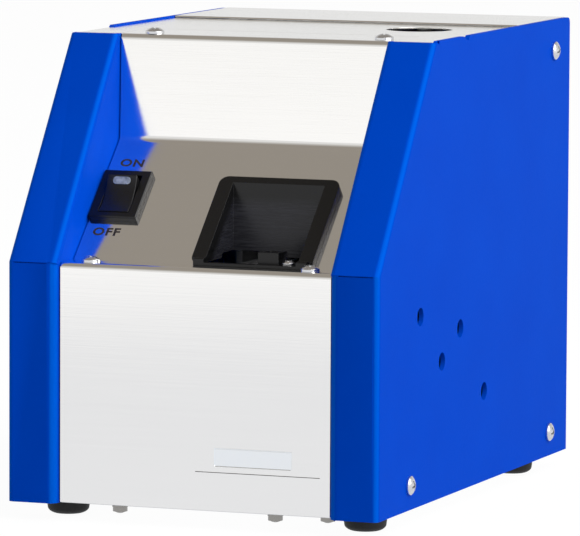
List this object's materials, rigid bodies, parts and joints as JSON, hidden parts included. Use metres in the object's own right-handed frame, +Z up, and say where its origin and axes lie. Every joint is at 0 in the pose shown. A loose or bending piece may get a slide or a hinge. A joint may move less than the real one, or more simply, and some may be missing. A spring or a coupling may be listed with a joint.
{
  "type": "automatic screw feeder",
  "caption": "Bench-top box that lifts loose screws from a hopper onto a vibrating slotted rail and presents them one by one in a recessed front window.",
  "frame": {"origin": "middle of the feeder's footprint, on the surface that its feet stand on", "axes": "+Z up, +Y from the window's front face towards the rear panel, +X to the right seen from the front"},
  "size_m": [0.127, 0.185, 0.1515],
  "materials": {
    "painted_blue": "satin powder coat",
    "brushed_stainless": "fine brushing along the width",
    "zinc_sheet": "zinc-plated",
    "black_plastic": "matt",
    "switch_black": "semi-gloss",
    "lens_white": "milky",
    "rubber_black": "matt",
    "bright_screw": "nickel-plated",
    "board_green": "solder mask",
    "component_black": "moulded",
    "brass": "machined",
    "bin_grey": "moulded",
    "tool_steel": "ground",
    "dark_steel": "blackened",
    "ground_shaft": "ground",
    "motor_can": "satin",
    "pulley_black": "moulded",
    "belt_rubber": "matt",
    "bristle": "nylon",
    "copper_wire": "enamelled wire"
  },
  "bodies": {
    "housing": {"side_cover_left": "painted_blue", "side_cover_right": "painted_blue", "front_cover": "brushed_stainless", "deck_cover": "brushed_stainless", "top_plate": "brushed_stainless", "base_pan": "zinc_sheet", "top_crossbar": "zinc_sheet", "rear_panel": "zinc_sheet", "mech_frame": "zinc_sheet", "escapement_bracket": "zinc_sheet", "window_bezel": "black_plastic", "bit_guide": "black_plastic", "switch_body": "black_plastic", "power_jack": "black_plastic", "photo_sensors": "black_plastic", "rubber_feet": "rubber_black", "foot_screws": "bright_screw", "cover_screws": "bright_screw", "ledge_screws": "bright_screw", "top_screws": "bright_screw", "base_screws": "bright_screw", "rear_screws": "bright_screw", "mechanism_screws": "bright_screw", "window_screw": "bright_screw", "jack_nut": "bright_screw", "control_board": "board_green", "board_components": "component_black", "board_standoffs": "brass", "hopper_bin": "bin_grey", "guide_ring": "tool_steel", "passing_plate": "tool_steel", "hinge_pin": "dark_steel", "spring_clamps": "dark_steel", "coil_core": "dark_steel", "scoop_pivot_pin": "ground_shaft", "shaft_bearings": "ground_shaft", "drive_motor": "motor_can", "escapement_motor": "motor_can", "motor_gearbox": "motor_can", "drive_belt": "belt_rubber", "coil_winding": "copper_wire"},
    "lid": {"hopper_lid": "brushed_stainless"},
    "rocker": {"switch_rocker": "switch_black", "switch_lens": "lens_white"},
    "drive": {"drive_shaft": "ground_shaft", "drive_pinion": "brass", "drive_pulley": "pulley_black"},
    "scoop": {"scoop_block": "tool_steel", "scoop_hub": "dark_steel", "sector_gear": "brass"},
    "brush": {"brush_pulley": "pulley_black", "brush_shaft": "ground_shaft", "brush_hub": "pulley_black", "brush_bristles": "bristle"},
    "rail": {"rail_left": "tool_steel", "rail_right": "tool_steel", "rail_carrier": "dark_steel", "rail_bolts": "dark_steel", "leaf_springs": "tool_steel"},
    "escapement": {"escapement_disc": "tool_steel"}
  },
  "joints": [
    {"name": "lid_hinge", "type": "hinge", "parent": "housing", "child": "lid", "pos_m": [0, 0.0869, 0.1458], "axis": [-1, 0, 0], "range_deg": [0, 95]},
    {"name": "rocker_tilt", "type": "hinge", "parent": "housing", "child": "rocker", "pos_m": [-0.0367, -0.05957, 0.09873], "axis": [-1, 0, 0], "range_deg": [0, 23]},
    {"name": "scoop_swing", "type": "hinge", "parent": "housing", "child": "scoop", "pos_m": [0.02, 0.0315, 0.0537], "axis": [1, 0, 0], "range_deg": [0, 36]},
    {"name": "drive_turn", "type": "hinge", "parent": "housing", "child": "drive", "pos_m": [0, 0.01953, 0.02081], "axis": [1, 0, 0], "range_deg": [-144, 0]},
    {"name": "brush_turn", "type": "hinge", "parent": "housing", "child": "brush", "pos_m": [0.02, 0.0195, 0.0937], "axis": [1, 0, 0], "range_deg": [-144, 0]},
    {"name": "rail_shake", "type": "slide", "parent": "housing", "child": "rail", "axis": [0, 1, 0], "range_m": [-0.0005, 0.0005], "stiffness_N_per_m": 8000},
    {"name": "escapement_turn", "type": "hinge", "parent": "housing", "child": "escapement", "pos_m": [0.02, -0.0661, 0.0787], "axis": [0, 0, 1], "continuous": true}
  ],
  "couplings": [
    {"joint": "drive_turn", "follows": "scoop_swing", "ratio": -4},
    {"joint": "brush_turn", "follows": "scoop_swing", "ratio": -4}
  ]
}
